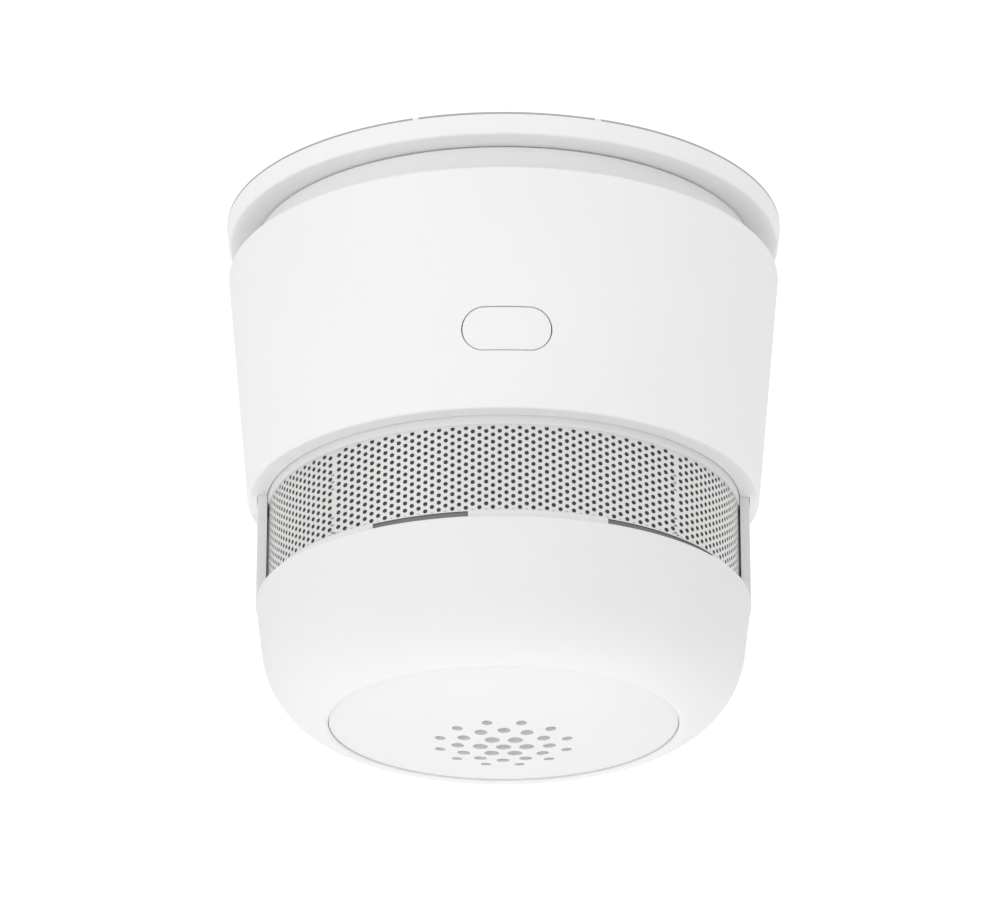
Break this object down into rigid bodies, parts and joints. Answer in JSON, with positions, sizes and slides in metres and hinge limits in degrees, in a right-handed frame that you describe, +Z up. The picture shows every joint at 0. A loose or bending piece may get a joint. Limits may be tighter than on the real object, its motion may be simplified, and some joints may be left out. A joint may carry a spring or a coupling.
{
  "type": "smoke detector",
  "caption": "Compact round ceiling smoke detector with a twist-off plate, tapered housing, perforated screen band, rounded cover, sounder grille and test button.",
  "frame": {"origin": "centre of the ceiling face, on the axis of the round body", "axes": "+Z up into the ceiling along the round body's axis, -Y is the front with the test button, +X to the right seen from the front"},
  "size_m": [0.065, 0.065, 0.064],
  "materials": {
    "white_plastic": "fine matt moulded texture",
    "foam": "closed-cell foam",
    "steel": "zinc plated",
    "cell_wrap": "shrink sleeve",
    "black_plastic": "matt black",
    "nickel": "nickel plated strip",
    "board": "solder mask",
    "chip_resin": "moulded resin",
    "can_metal": "drawn can",
    "ferrite": "sintered",
    "clear_lens": "clear epoxy",
    "diffuser": "milky translucent",
    "screen_metal": "satin etched sheet",
    "membrane": "fine non-woven",
    "brass": "rolled",
    "ceramic": "fired",
    "soft_rubber": "moulded"
  },
  "bodies": {
    "ceiling_plate": {"mounting_plate": "white_plastic", "seal_ring": "foam"},
    "detector": {"rear_housing": "white_plastic", "upper_housing": "white_plastic", "housing_screws": "steel", "cell_a": "cell_wrap", "cell_b": "cell_wrap", "battery_tray": "black_plastic", "battery_springs": "nickel", "battery_contacts": "nickel", "main_board": "board", "board_screws": "steel", "controller_chip": "chip_resin", "sensor_chip": "chip_resin", "capacitors": "can_metal", "horn_inductor": "ferrite", "switch_body": "black_plastic", "status_led": "clear_lens", "light_ring": "diffuser", "chamber_base": "black_plastic", "labyrinth": "black_plastic", "labyrinth_cap": "black_plastic", "infrared_lamp": "clear_lens", "photodiode": "clear_lens", "insect_screen": "screen_metal", "retaining_ring": "white_plastic", "front_cover": "white_plastic", "sounder_grille": "white_plastic", "dust_membrane": "membrane", "resonator_housing": "black_plastic", "piezo_disc": "brass", "piezo_ceramic": "ceramic", "sounder_gasket": "soft_rubber", "sounder_pins": "steel"},
    "button": {"test_button": "white_plastic"},
    "plunger": {"switch_plunger": "black_plastic"}
  },
  "joints": [
    {"name": "twist_lock", "type": "hinge", "parent": "ceiling_plate", "child": "detector", "pos_m": [0, 0, 0], "axis": [0, 0, -1], "range_deg": [0, 20]},
    {"name": "button_press", "type": "slide", "parent": "detector", "child": "button", "axis": [0, 1, 0], "range_m": [0, 0.0004], "stiffness_N_per_m": 3000, "springref_m": -0.0002},
    {"name": "plunger_press", "type": "slide", "parent": "detector", "child": "plunger", "axis": [0, 1, 0], "range_m": [0, 0.0004]}
  ],
  "couplings": [
    {"joint": "plunger_press", "follows": "button_press", "ratio": 1}
  ]
}
